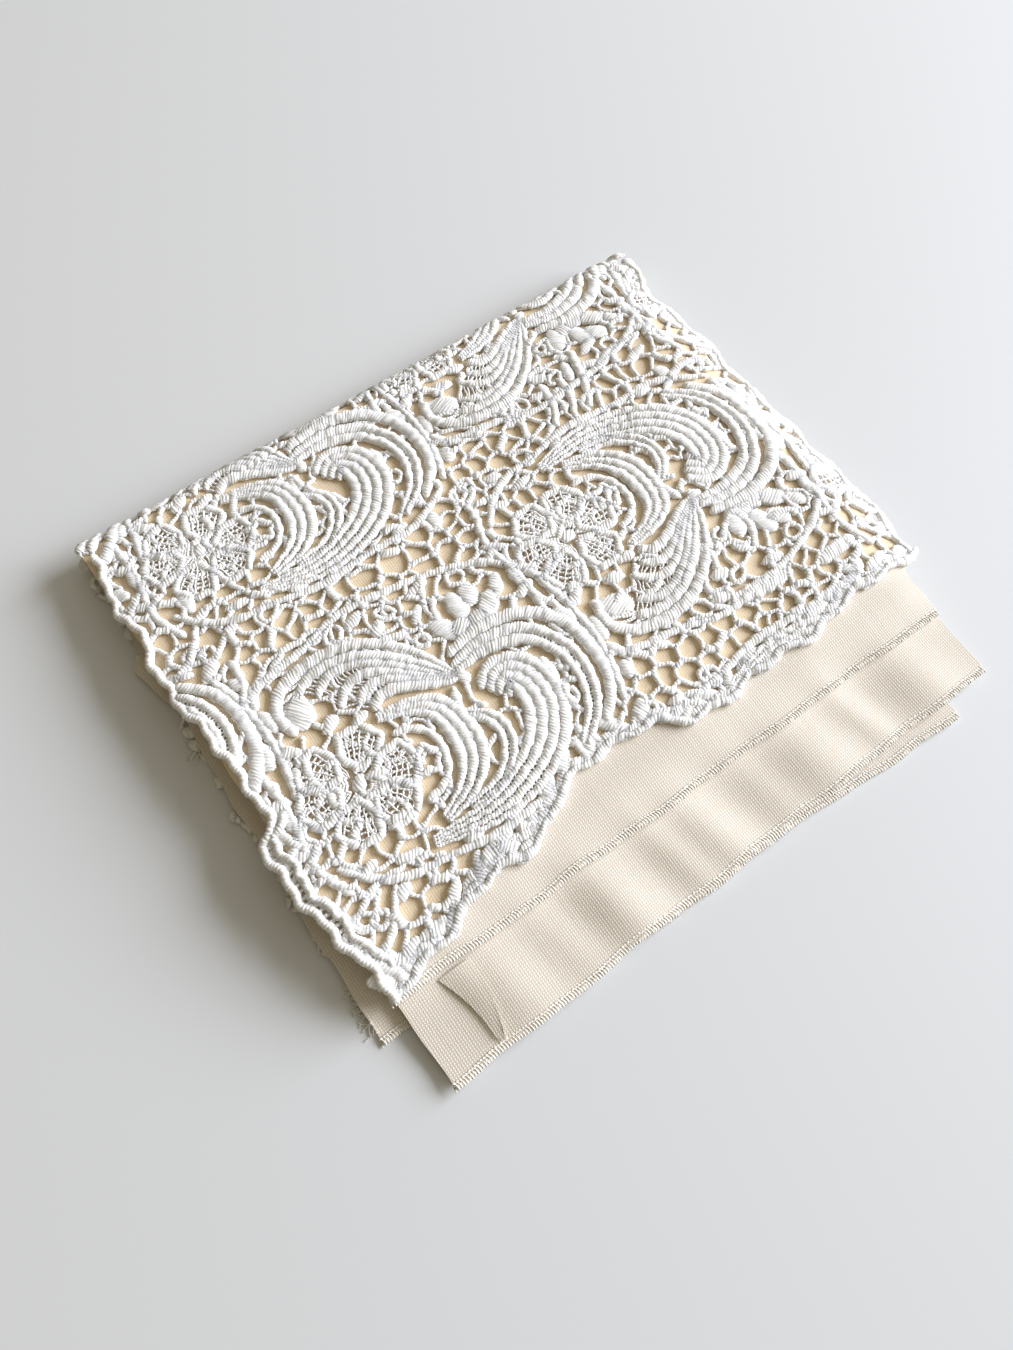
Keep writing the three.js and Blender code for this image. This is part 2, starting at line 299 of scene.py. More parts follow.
def flower():
    """Six net-filled petals round a satin knob: closed outlines, with veins that fan out and rings
    of thread across them."""
    cords, nets = [], []
    for x, y in petals:
        out = math.atan2(y, x)
        far = math.hypot(x, y)
        f = np.linspace(0, 2 * math.pi, 18, endpoint=False)
        u = far - 0.4 + (4.7 + 0.3 * np.cos(6 * f)) * np.cos(f)
        v = (4.6 + 0.3 * np.cos(6 * f)) * np.sin(f) * (1 + 0.22 * np.cos(f))
        cords.append(cord(turned_by(out, u, v), [1.7, 2.1, 1.6, 2.0], closed=True))
        for spread in (-0.44, -0.3, -0.15, 0, 0.15, 0.3, 0.44):
            reach = far + 4 - 5 * abs(spread)
            steps = [(0.2 * reach, spread * 0.6), (0.6 * reach, spread * 1.1), (reach, spread)]
            nets.append(cord([(k * math.cos(out + a), k * math.sin(out + a)) for k, a in steps], 0.55,
                             rise=0.9))
        for inward in (-3.8, -2.5, -1.2, 0.1, 1.4, 2.7):
            r = far + inward
            half = math.atan2(3.9, r)
            steps = [(r, -half), (r + 0.6, 0), (r, half)]
            nets.append(cord([(k * math.cos(out + a), k * math.sin(out + a)) for k, a in steps], 0.5,
                             rise=0.85))
    return cords, nets


def motif():
    """One repeat of the lace, about its flower: the flower, a fan of ribs, a crescent round the
    flower's right, two scrolls, a rose leaf, and leaves and twigs between them."""
    cords, nets = flower()
    leaves = [leaf(0, 0, 4.2, 3.8, 0.4), leaf(-2, 21.8, 8.6, 7.4, 0.9)]
    ribs = []
    meet = (33, 8)
    fan = [
        ([(-5.5, 17.5), (-6.6, 24), (-3, 29), (5, 31.2), (14, 30.2), (22, 25.6), (28, 18.5), meet], 2.9),
        ([(0, 26.6), (6, 28.4), (13, 27.3), (20, 23.2), (26, 17.2), meet], 2.7),
        ([(3, 23.2), (8, 25.8), (14, 25), (20, 21), (25.5, 15.4), meet], 2.5),
        ([(6, 17.4), (9.4, 20.8), (14, 21.7), (19, 19.2), (24.5, 14.4), meet], 2.4),
        ([(9.6, 15.8), (13, 18.1), (17, 18), (21, 15.8), (25.6, 12.4), meet], 2.4),
        ([(11.5, 12.8), (15, 14.7), (19, 14.2), (23.4, 12), (28, 9.5), meet], 2.7),
    ]
    for points, width in fan:
        ribs.append(cord(points, width * np.array([0.8, 1, 1, 0.9, 0.65, 0.4])))
    for one, other in zip(ribs[:-1], ribs[1:]):
        nets += zigzag(one[0], other[0])
    scrolls = [
        ([(11, 10.6), (18, 9), (23.3, 5.6), (25.2, 0), (24.4, -8), (19.5, -14), (11, -17.5)],
         [2, 4, 6.2, 7, 6.8, 5, 2.4], 3, 0.62),
        ([(36.4, 0.6), (40.5, 3.6), (44.6, 0), (44.6, -8), (39.2, -15.6), (30, -20.2), (20, -21.8), (6, -20)],
         [7.6, 9.2, 9.8, 9.4, 8.4, 6.6, 4.8, 2.6], 4, 0.4),
        ([(32, 10.8), (41, 11.8), (50.4, 8.8), (55.4, 1.5), (56.2, -7), (53, -15), (46, -21)],
         [3, 4.8, 5.4, 5.4, 5, 4.2, 2.8], 2, 0.3),
        ([(29, 0), (32.4, -4), (33, -9), (30.2, -14), (25.2, -17.2), (17, -18.2)],
         [2, 3.6, 4, 3.6, 3, 2], 2, 0.2),
    ]
    for points, widths, count, head in scrolls:
        bed, lying, joins = ribbed_band(points, widths, count, head)
        leaves += bed
        ribs += lying
        nets += joins
    cords.append(cord([(33, 14.6), (43, 16), (54, 13), (60.4, 5), (61.4, -5), (59.4, -13), (53, -20)],
                      [2.2, 3, 3.2, 3.2, 3, 2.6, 2]))
    cords.append(cord([(12, 5.5), (17, 3.5), (19.6, -1), (18.6, -7), (15.4, -10.6), (10, -12)], 1.8))
    lobes = np.linspace(0, 2 * math.pi, 10, endpoint=False)
    curl = 2.9 + 0.5 * np.cos(5 * lobes)
    cords.append(cord(np.stack([15 + curl * np.cos(lobes), -4 + curl * np.sin(lobes)], 1), 1.6, closed=True))
    leaves.append(leaf(*meet, 4, 3.4, 1.1))
    bunch = [(36, 20.6, 8.5, 1.9), (42, 23.8, 9, 1.4), (48.4, 20, 8.6, 0.7), (43.6, 17.8, 8, 0.2),
             (39.8, 18.6, 7, 2.6), (46, 25, 7, 1.0)]
    for x, y, length, turn in bunch:
        leaves.append(leaf(x, y, length, 5.4, turn))
    small = [
        (20, 34.6, 0.3), (27, 32, -0.6), (33, 27.4, 0.8), (37, 33.4, 0.2), (46, 30.6, -0.5), (53, 23.6, 1.0),
        (58, 18.5, 0.3), (10, 36.6, -0.2), (0, 35.6, 0.5), (-9, 31, 1.2), (-12.5, 24, 1.6), (-13.5, 16.6, 1.2),
        (2, 15.6, 0.4), (61, 28, 1.2), (-8.5, -17, 0.3), (0, -19.5, -0.2), (-12, -27, 0.9), (42, -25, 0.5),
        (51, -27, 1.2), (60, -24, 0.6), (-16, 9, 1.3), (-16.5, -8, 0.6), (65.5, 10, 1.5), (66, 0, 1.4),
        (65, -12, 1.2), (26, 22.8, -0.7), (8, 12.8, 0.2), (28.5, 4, 1.2), (50.4, -10, 1.2), (50, -1.6, 1.6),
        (23.5, 29.6, 0.4), (14, 34, 0.9), (-6, 33.4, 0.2), (57, 31, 0.4), (33, -24, 0.1), (24, -24.6, 0.5),
        (14, -23.6, -0.3), (5, -25.4, 0.8), (-5, -25, 0.3), (-17, 2, 1.5), (30.4, 21, -0.8), (-9, 14.6, -0.5),
    ]
    for i, (x, y, turn) in enumerate(small):
        length, width = 6.2 + 1.2 * math.sin(3.1 * i), 3.1 + 0.6 * math.sin(5.3 * i)
        if i % 3 == 1:
            ring = np.linspace(0, 2 * math.pi, 9, endpoint=False)
            open_leaf = turned_by(turn, length * 0.36 * np.cos(ring), width * 0.55 * np.sin(ring)) + (x, y)
            cords.append(cord(open_leaf, 1.3, closed=True))
        else:
            leaves.append(leaf(x, y, length, width, turn))
    twigs = [
        [(-13, 30), (-4, 33.5), (6, 35), (17, 38), (30, 37), (42, 35), (54, 30), (62, 22)],
        [(-14, -13), (-9, -19), (-2, -23), (8, -24.5), (20, -26.5), (34, -25.5), (46, -25.5), (58, -20)],
        [(-17, 16), (-16, 3), (-17.5, -10), (-14, -20)],
        [(62, 20), (64, 8), (63.5, -6), (60, -18)],
    ]
    for points in twigs:
        cords.append(cord(points, [1.5, 2.1, 1.5, 2.2, 1.6, 2.0, 1.5]))
    return {"cords": cords, "nets": nets, "leaves": leaves, "ribs": ribs}


repeat_x = 75.0
repeat_y = 73.8
first_flower = (-60.5, -15.3)  # the middle of a flower, from which the repeats are counted
mirrored_rise = 24.05  # every other column is the motif upside down, this much higher


def strip_pattern(front, back):
    """The motif over the whole strip, from front to back: alternate columns are turned over."""
    placed = {kind: [] for kind in ("cords", "nets", "leaves", "ribs")}
    first_row = math.floor((front - first_flower[1]) / repeat_y)
    rows = range(first_row, math.ceil((back - first_flower[1]) / repeat_y) + 1)
    for kind, runs in motif().items():
        for column in (-1, 0, 1, 2):
            flip = -1 if column % 2 else 1
            for row in rows:
                x = first_flower[0] + repeat_x * column
                y = first_flower[1] + repeat_y * row + (mirrored_rise if column % 2 else 0)
                placed[kind] += [(line * (1, flip) + (x, y), width, high) for line, width, high in runs]
    return placed


def sprigs():
    """Stems and long leaves worked between the repeats, each in its own place on the strip."""
    stems = [
        ([(32, 37), (35.5, 43), (37, 51)], [1.5, 2.2, 2.4]),
        ([(37.5, 36), (41, 43), (42, 50)], [1.4, 2.0, 2.3]),
        ([(43, 37), (47, 45), (50.5, 56)], [1.6, 2.2, 2.6]),
        ([(52, 46), (60, 50), (70, 50)], [2.2, 1.8, 1.5]),
        ([(45, -13), (51, -9.5), (59, -9)], [1.5, 2.1, 1.5]),
        ([(52, -9), (53, -14.5), (50, -20)], [1.8, 2.2, 1.4]),
        ([(-82, 30), (-76, 33), (-71, 40)], [1.4, 2.2, 1.4]),
        ([(-75, 12), (-70, 19), (-69, 27)], [2.2, 1.8, 2.4]),
        ([(-80, -50), (-72, -46), (-66, -38)], [1.3, 1.9, 1.3]),
        ([(-77, -40), (-70, -36), (-62, -36)], [1.2, 1.7, 1.2]),
        ([(24, 45), (27, 52), (26, 60)], [1.4, 2.1, 1.5]),
        ([(62, 30), (70, 34), (80, 33)], [1.6, 2.2, 1.5]),
    ]
    long_leaves = [
        (50, -4.5, 9, 3, 1.95), (55.4, -3.5, 9, 3, 1.2), (45.5, 50.5, 7.5, 3.4, 1.25), (56, 55, 8, 3.2, 0.5),
        (64, 44.5, 8, 3.2, 0.3), (74, 44, 7, 3.6, 1.2), (79, 20, 7, 3.4, 1.5), (77, 8, 7, 3.2, 1.0),
        (79, -6, 7, 3.4, 1.7), (-74, 27.5, 7, 4.2, 0.6), (-75, 20, 6, 3.4, 2.2), (-70, 47, 7, 3.6, 1.5),
        (-47, -45, 17, 4.4, 0.28), (-74, -52, 8, 4.2, -0.5), (-57, -49.5, 9, 3.6, 0.2),
        (44, -29, 19, 4.6, -0.12), (66, -31.5, 13, 4, 0.06),
    ]
    return [cord(*stem) for stem in stems], [leaf(*spec) for spec in long_leaves]


def kept(runs, inside):
    """The stretches of each run that lie inside, as runs of their own."""
    out = []
    for line, width, high in runs:
        held = inside(line[:, 0], line[:, 1])
        if not held.any():
            continue
        breaks = np.flatnonzero(np.diff(held.astype(int))) + 1
        for part in np.split(np.arange(len(line)), breaks):
            if held[part[0]] and len(part) > 3:
                out.append((line[part], width[part], high[part]))
    return out


cell = 0.5  # the side of one cell of the grid that marks where the lace is solid


def covered(runs, low, high):
    """Marks the cells of a flat grid that the runs cover: the runs' points, widened by moving the
    marks over a disc of each run's half width."""
    shape = tuple(np.ceil((np.array(high) - low) / cell).astype(int))
    mask = np.zeros(shape, bool)
    points = np.vstack([line for line, _, _ in runs])
    reach = np.concatenate([width / 2 for _, width, _ in runs])
    at = np.round((points - low) / cell).astype(int)
    fits = ((at >= 0) & (at < shape)).all(1)
    at, reach = at[fits], np.round(reach[fits] / cell).astype(int)
    for r in np.unique(reach):
        marks = np.zeros(shape, bool)
        marks[at[reach == r, 0], at[reach == r, 1]] = True
        for dx in range(-r, r + 1):
            for dy in range(-r, r + 1):
                if dx * dx + dy * dy <= r * r + 1:
                    mask |= np.roll(marks, (dx, dy), (0, 1))
    return mask


def bars(low, high, spacing, seed, mask, mask_low):
    """The bars that join the lace: the walls between cells round scattered holes. The holes' middles
    are a brick pattern, drawn wider in places and moved about at random. Each wall runs between the
    middles of the circles through two neighbouring triangles of holes. Walls that the mask hides are
    left out."""
    chance = np.random.default_rng(seed)
    across = np.arange(low[0] - spacing, high[0] + spacing, spacing)
    along = np.arange(low[1] - spacing, high[1] + spacing, spacing * 0.866)
    x, y = np.meshgrid(across, along, indexing="ij")
    x = x + (np.arange(len(along)) % 2) * spacing / 2
    x, y = x + 1.7 * np.sin(x / 8 + y / 12), y + 1.7 * np.sin(y / 7.5 - x / 11)
    holes = np.stack([x, y], -1).reshape(-1, 2) + chance.normal(0, spacing * 0.22, (x.size, 2))
    found = delaunay_2d_cdt([Vector(p) for p in holes], [], [], 0, 1e-6)
    corner = np.array([tuple(v) for v in found[0]])
    triangle = np.array([tuple(f) for f in found[2]])
    a, b, c = (corner[triangle[:, i]] for i in range(3))
    u, v = b - a, c - a
    double = 2 * (u[:, 0] * v[:, 1] - u[:, 1] * v[:, 0])
    uu, vv = (u * u).sum(1), (v * v).sum(1)
    middle = a + np.stack([v[:, 1] * uu - u[:, 1] * vv, u[:, 0] * vv - v[:, 0] * uu], 1) / double[:, None]
    edge = np.sort(np.vstack([triangle[:, [0, 1]], triangle[:, [1, 2]], triangle[:, [2, 0]]]), axis=1)
    owner = np.tile(np.arange(len(triangle)), 3)
    order = np.lexsort((edge[:, 1], edge[:, 0]))
    edge, owner = edge[order], owner[order]
    twin = np.flatnonzero((edge[1:] == edge[:-1]).all(1))
    start, end = middle[owner[twin]], middle[owner[twin + 1]]
    long = np.linalg.norm(end - start, axis=1)
    t = np.linspace(0, 1, 3)[:, None, None]
    look = np.round((start + (end - start) * t - mask_low) / cell).astype(int)
    look = np.clip(look, 0, np.array(mask.shape) - 1)
    hidden = mask[look[..., 0], look[..., 1]].all(0)
    seen = ~hidden & (long < 2 * spacing) & (long > 0.25)
    start, end, long = start[seen], end[seen], long[seen]
    ahead = (end - start) / long[:, None]
    side = beside(ahead)
    bow = chance.normal(0, 0.09, len(long)) * long
    fat = np.where(chance.random(len(long)) < 0.25, 1.7, 1.0) * chance.uniform(0.8, 1.15, len(long))
    out = []
    for i in range(len(long)):
        n = max(4, int(round(long[i] / (stitch_step * 1.3))) + 1)
        t = np.linspace(-0.35 / long[i], 1 + 0.35 / long[i], n)
        bend = np.sin(math.pi * np.clip(t, 0, 1)) * bow[i]
        line = start[i] + ahead[i] * (t * long[i])[:, None] + side[i] * bend[:, None]
        waist = 1.05 + 0.75 * np.abs(2 * t - 1) ** 2
        out.append((line, waist * fat[i], np.full(n, 0.85) * fat[i] ** 0.5))
    return out


def mesh_piece(name, points, faces, uv=None):
    """A closed mesh from points in millimetres and faces, with one UV pair for each point."""
    mesh = bpy.data.meshes.new(name)
    mesh.from_pydata(np.asarray(points) * mm, [], faces)
    mesh.polygons.foreach_set("use_smooth", np.ones(len(mesh.polygons), bool))
    if uv is not None:
        corner = np.empty(len(mesh.loops), np.int32)
        mesh.loops.foreach_get("vertex_index", corner)
        layer = mesh.uv_layers.new(name="thread")
        layer.data.foreach_set("uv", (uv[corner] * mm).astype(np.float32).ravel())
    piece = bpy.data.objects.new(name, mesh)
    bpy.context.scene.collection.objects.link(piece)
    return piece


def follow(lines):
    """Lines laid end to end: their points, and for each point its direction, the distance run along
    its line, how far into its line it is, and the line's whole length."""
    count = np.array([len(line) for line in lines])
    path = np.vstack(lines)
    first = np.repeat(np.r_[0, np.cumsum(count)[:-1]], count)
    last = np.repeat(np.cumsum(count) - 1, count)
    index = np.arange(len(path))
    ahead = unit(path[np.minimum(index + 1, last)] - path[np.maximum(index - 1, first)])
    hop = np.r_[0, np.linalg.norm(np.diff(path, axis=0), axis=1)]
    hop[index == first] = 0
    run = np.cumsum(hop)
    run = run - run[first]
    return path, ahead, run, index - first, run[last]


def tubes(name, rings, lines, uv):
    """Closed tubes from a ring of points for each point of the lines, with a face at each end."""
    sides = rings.shape[-2]
    count = np.array([len(line) for line in lines])
    ends = np.cumsum(count) - 1
    start = np.setdiff1d(np.arange(count.sum()), ends)[:, None] * sides
    k = np.arange(sides)
    k_next = (k + 1) % sides
    quads = np.stack([start + k, start + k_next, start + sides + k_next, start + sides + k], -1).reshape(-1, 4)
    caps = np.vstack([(ends + 1 - count)[:, None] * sides + k[::-1], ends[:, None] * sides + k])
    return mesh_piece(name, rings.reshape(-1, 3), quads.tolist() + caps.tolist(), uv)


def sweep(name, runs, place, sides=7, ridge=0.075, seed=1):
    """Satin cords as solids. Each ring is a flattened oval on the strip, as wide as the cord, as high
    as its rise and a little aslant, rounded off towards the cord's ends; every second ring is larger,
    as one stitch lies on the next. place() bends the flat strip into the cover's shape."""
    lines = [line for line, _, _ in runs]
    half = np.concatenate([width for _, width, _ in runs]) / 2
    rise = np.concatenate([high for _, _, high in runs])
    path, ahead, run, step, whole = follow(lines)
    side = beside(ahead)
    near_end = np.minimum(run, whole - run)
    tip = np.clip(near_end / np.maximum(half, 0.3), 0, 1)
    tip = np.sqrt(np.maximum(1 - (1 - tip) ** 2, 0.06))
    chance = np.random.default_rng(seed)
    stitch = 1 + ridge * np.where(step % 2 == 0, 1, -1) + chance.normal(0, 0.025, len(path))
    turn = np.radians(np.linspace(-35, 215, sides))
    broad = np.sign(np.cos(turn)) * np.abs(np.cos(turn)) ** 0.85
    tall = np.sign(np.sin(turn)) * np.abs(np.sin(turn)) ** 0.7
    across = (half * tip * stitch)[:, None] * broad
    up = (rise * (0.45 + 0.55 * tip) * stitch)[:, None] * (0.38 + 0.62 * tall)
    flat = path[:, None] + side[:, None] * across[..., None] + ahead[:, None] * 0.3 * across[..., None]
    x, s = flat[..., 0], flat[..., 1]
    flat = flat + 0.13 * np.stack([np.sin(s * 2.1 + np.sin(x * 1.3)), np.sin(x * 1.9 + np.sin(s * 1.7))], -1)
    up = up * (1 + 0.16 * np.sin(x * 1.37 + 1.9 * np.sin(s * 0.73)) * np.sin(s * 1.21 + 1.7 * np.sin(x * 0.61)))
    around = (half[:, None] * 2 * turn / math.pi).ravel()
    return tubes(name, place(flat[..., 0], flat[..., 1], np.maximum(up, 0)), lines,
                 np.stack([np.repeat(run, sides), around], 1))


left_edge, right_edge = corners_of("lace_top")[:, 0].min(), corners_of("lace_top")[:, 0].max()
base_left, base_right = corners_of("base_lace")[:, 0].min(), corners_of("base_lace")[:, 0].max()
base_front = corners_of("base_lace")[:, 1].min()
strip_end = under_start + fold_y - base_front
strip = strip_pattern(-80, strip_end)
stems, long_leaves = sprigs()
strip["cords"] += stems
strip["leaves"] += long_leaves
solid_work = strip["cords"] + strip["leaves"] + strip["ribs"]
grid_low = np.array([base_left - 2, -62.0])
grid_high = np.array([base_right + 2, strip_end + 2])
lace_mask = covered(solid_work, grid_low, grid_high)
bars_all = bars(grid_low, grid_high, 5.2, 7, lace_mask, grid_low)


def under_panel(x, s, lift):
    """Places the strip's last part on the table, face down: height is measured down from the
    panel's upper side and is pressed to its thickness."""
    z = lace_thickness * (1 - np.minimum(lift / 1.9, 1)) + 0.02
    return np.stack([x, fold_y - (s - under_start), z], -1)


fold_clear = 1.0  # how far the panels' own work stops short of the fold, whose pieces reach over it


def base_inside(x, s):
    """The lower panel's outline on the strip, with a wavy front."""
    y = fold_y - (s - under_start)
    wave = 2.2 * np.sin(x / 9) + 1.2 * np.sin(x / 3.7)
    edge = 0.8 * np.sin(y / 4) + 0.6 * np.sin(y / 1.9)
    between = (x > base_left + 1.6 + edge) & (x < base_right - 9 + edge + np.clip(y - 60, 0, 8))
    return (s > under_start + fold_clear) & (y > base_front + 3 + wave) & between


def satin_cotton(name, colour, shade, soak):
    """White satin-stitched cotton: close parallel threads, greyer between them, into which light
    soaks by the share soak. Threads run across the cord, so the fine ridges follow its length."""
    material, tree = blank_material(name)
    thread = add(tree, "UVMap", uv_map="thread").outputs["UV"]
    fine = add(tree, "TexWave", {"Vector": thread, "Scale": 2 * math.pi / 20 / (0.8 * mm), "Distortion": 1.2,
                                 "Detail": 2.0, "Detail Scale": 1.5}, wave_type="BANDS", bands_direction="X")
    place = add(tree, "TexCoord").outputs["Object"]
    fuzz = add(tree, "TexNoise", {"Vector": place, "Scale": 1 / (0.6 * mm), "Detail": 4.0, "Roughness": 0.8})
    depth = add(tree, "Math", {0: fine.outputs["Fac"], 1: fuzz.outputs["Fac"]}, operation="ADD")
    bump = add(tree, "Bump", {"Height": depth.outputs["Value"], "Strength": 0.6, "Distance": 0.2 * mm})
    share = add(tree, "Math", {0: depth.outputs["Value"], 1: 0.5}, operation="MULTIPLY")
    tint = add(tree, "Mix", {"Factor": share.outputs["Value"], "A": linear(shade), "B": linear(colour)},
               data_type="RGBA")
    shader = add(tree, "BsdfPrincipled", {
        "Base Color": tint.outputs["Result"], "Roughness": 0.72, "Normal": bump.outputs["Normal"],
        "Specular IOR Level": 0.15,
        "Subsurface Weight": soak, "Subsurface Radius": (1, 0.95, 0.85), "Subsurface Scale": 0.7 * mm})
    add(tree, "OutputMaterial", {"Surface": shader.outputs["BSDF"]})
    return material


lace_cotton = satin_cotton("satin_stitched_cotton", "#FBFAF7", "#F4F2EE", 0.55)
# the nets' single threads are too thin for light to soak into
net_cotton = satin_cotton("bare_cotton_thread", "#FDFCF9", "#F6F4F0", 0.0)


def fit_out(piece, look, body, node):
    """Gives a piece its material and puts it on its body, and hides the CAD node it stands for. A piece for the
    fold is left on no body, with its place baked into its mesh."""
    piece.data.materials.append(look)
    if body == "fold":
        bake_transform(piece)
    else:
        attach(piece, body)
    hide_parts(node)


def lace_part(name, runs, place, body, node, cotton=lace_cotton, **look):
    """One piece of lace: its cords made solid, given the cotton and put on its body."""
    piece = sweep(name, runs, place, **look)
    fit_out(piece, cotton, body, node)
    return piece


def every_second(runs):
    """Cords for a panel that is hardly seen: half as many rings."""
    return [(line[::2], width[::2], high[::2]) for line, width, high in runs if len(line) > 6]


base_cords = lace_part("base_lace_cords", every_second(kept(solid_work, base_inside)), under_panel, "base",
                       "base_lace", sides=6, ridge=0.03)
base_bars = lace_part("base_lace_bars", kept(bars_all, base_inside), under_panel, "base", "base_lace",
                      sides=5, ridge=0.0)


# ---- Lower linings ----
# Two plain cream cotton linings, the inner one lying on the outer one. Each is cut square, hemmed at
# the front with an overlock and turned over at the back fold into the flap's lining.
def ends_of(node):
    """The middles of a long node's left and right ends."""
    found = corners_of(node)
    left = found[found[:, 0] < found[:, 0].min() + 1.5].mean(0)
    right = found[found[:, 0] > found[:, 0].max() - 1.5].mean(0)
    return left, right


def slab(name, low, high, uv, sharp=50):
    """A closed sheet between two grids of points, its upper face and its underside, with a rim."""
    across, along = low.shape[:2]
    index = np.arange(across * along).reshape(across, along)
    face = np.stack([index[:-1, :-1], index[1:, :-1], index[1:, 1:], index[:-1, 1:]], -1).reshape(-1, 4)
    rim = np.concatenate([index[:, 0], index[-1, 1:], index[-2::-1, -1], index[0, -2:0:-1]])
    rim_next = np.roll(rim, -1)
    total = across * along
    wall = np.stack([rim + total, rim_next + total, rim_next, rim], -1)
    faces = np.vstack([face, face[:, ::-1] + total, wall])
    points = np.vstack([high.reshape(-1, 3), low.reshape(-1, 3)])
    piece = mesh_piece(name, points, faces.tolist(), np.vstack([uv.reshape(-1, 2)] * 2))
    piece.data.set_sharp_from_angle(angle=math.radians(sharp))
    return piece


def plain_weave(name, colour, shade, painted_shade_colour):
    """Plain-woven cotton lining: warp and weft of about 0.6 mm, uneven threads and a soft matt face.
    Colour is its open face, shade the gaps between threads, and the last colour a painted shade: the tan the
    lining takes where the lace lies over it, standing in for the lace's shadow and the light bounced between
    lace and lining."""
    material, tree = blank_material(name)
    flat = add(tree, "UVMap", uv_map="thread").outputs["UV"]
    pitch = 0.62 * mm
    waves = [add(tree, "TexWave", {"Vector": flat, "Scale": 2 * math.pi / 20 / pitch, "Distortion": 1.5,
                                   "Detail": 1.0, "Detail Scale": 3.0}, wave_type="BANDS", bands_direction=axis)
             for axis in "XY"]
    cross = add(tree, "Math", {0: waves[0].outputs["Fac"], 1: waves[1].outputs["Fac"]}, operation="MULTIPLY")
    drawn = [add(tree, "Mapping", {"Vector": flat, "Scale": stretch})
             for stretch in ((1, 0.06, 1), (0.06, 1, 1))]
    slub = [add(tree, "TexNoise", {"Vector": way.outputs["Vector"], "Scale": 1 / (2.2 * mm), "Detail": 3.0})
            for way in drawn]
    thick = add(tree, "Math", {0: slub[0].outputs["Fac"], 1: slub[1].outputs["Fac"]}, operation="ADD")
    height = add(tree, "Math", {0: cross.outputs["Value"], 1: thick.outputs["Value"]}, operation="ADD")
    bump = add(tree, "Bump", {"Height": height.outputs["Value"], "Strength": 0.5, "Distance": 0.12 * mm})
    open_face = add(tree, "Mix", {"Factor": cross.outputs["Value"], "A": linear(shade), "B": linear(colour)},
                    data_type="RGBA")
    # painted shade: this attribute gives how far the lining lies under the lace, and the mix darkens the weave
    # towards the shade colour there
    under = add(tree, "Attribute", attribute_name="painted_shade_share")
    tint = add(tree, "Mix", {"Factor": under.outputs["Fac"], "A": open_face.outputs["Result"],
                             "B": linear(painted_shade_colour)}, data_type="RGBA")
    shader = add(tree, "BsdfPrincipled", {
        "Base Color": tint.outputs["Result"], "Roughness": 0.8, "Normal": bump.outputs["Normal"],
        "Sheen Weight": 0.2, "Sheen Roughness": 0.6, "Specular IOR Level": 0.3})
    add(tree, "OutputMaterial", {"Surface": shader.outputs["BSDF"]})
    return material


# the last colour is painted shade under the lace: a tan that stands in for the lace's shadow and bounced light
# on the lining
lining_cotton = plain_weave("cream_cotton_lining", "#F5F1E7", "#DACFBE", "#E8D4B4")
lining_thickness = 0.5
cloth_cell = 1.4  # spacing of a lining's points
hem_gap = 0.5  # a lining ends this far before the fold, where its fold piece begins


def drawn_back(x):
    """How far the inner lining's lower hem is drawn in behind the upper one: a little, save at its
    right end."""
    t = np.clip((x - 22) / 26, 0, 1)
    return 2.3 * (1 - t * t * (3 - 2 * t))


def paint_lace_shade_mask(piece, share):
    """Stores how far each point of a lining lies under the lace, from 0 to 1: the share of painted shade,
    standing in for the lace's shadow, that its material lays on there.
    """
    layer = piece.data.attributes.new("painted_shade_share", "FLOAT", "POINT")
    layer.data.foreach_set("value", share.astype(np.float32))


def lining(name, node, hem, body, waves, lace_front=None, shift=None, bulge=None):
    """A hemmed lining: from its hem line to the fold, draped on the profile of its CAD node, with
    waves(x, y, z) adding the soft folds. shift(x) moves the hem in, and bulge(y) gives how far the
    left and right sides stand out."""
    hem_left, hem_right = ends_of(hem)
    found = corners_of(node)
    back = found[found[:, 1] > found[:, 1].max() - 0.5]
    back_left, back_right = back[:, 0].min(), back[:, 0].max()
    heights = profile(node)
    across = int((back_right - back_left) / cloth_cell)
    along = int((fold_y - hem_left[1]) / cloth_cell)
    u, v = np.meshgrid(np.linspace(0, 1, across), np.linspace(0, 1, along), indexing="ij")
    left = hem_left[0] + (back_left - hem_left[0]) * v
    right = hem_right[0] + (back_right - hem_right[0]) * v
    if bulge is not None:
        out_left, out_right = bulge(hem_left[1] + (fold_y - hem_left[1]) * v)
        left, right = left - out_left, right + out_right
    front = hem_left[1] + (hem_right[1] - hem_left[1]) * u
    wander = 0.35 * np.sin(v * 23) + 0.25 * np.sin(v * 51 + 1)
    x = left + (right - left) * u + wander * (np.abs(2 * u - 1) ** 8)
    y = front + (fold_y - hem_gap - front) * v
    if shift is not None:
        y = y + shift(x) * (1 - v)
    z = waves(x, y, np.interp(y, *heights))
    low = np.stack([x, y, z], -1)
    high = low + (0, 0, lining_thickness)
    piece = slab(name, low, high, np.stack([x, y], -1))
    # painted shade where the lace lies over this lining, fading in over about 3 mm at the lace's front
    if lace_front is not None:
        paint_lace_shade_mask(piece, np.tile(np.clip((y - lace_front(x) + 1) / 3, 0, 1).ravel(), 2))
    fit_out(piece, lining_cotton, body, node)
    size = ((back_right - back_left) * mm, (fold_y - hem_left[1]) * mm)
    return piece, size


def lies_flat(x, y, z):
    """The lower linings are pressed flat, apart from a slight wave at the hem."""
    near_hem = np.exp(-(((y + 78) / 14) ** 2))
    return z + 0.35 * near_hem * (1 + np.sin(x / 9 + 0.8))


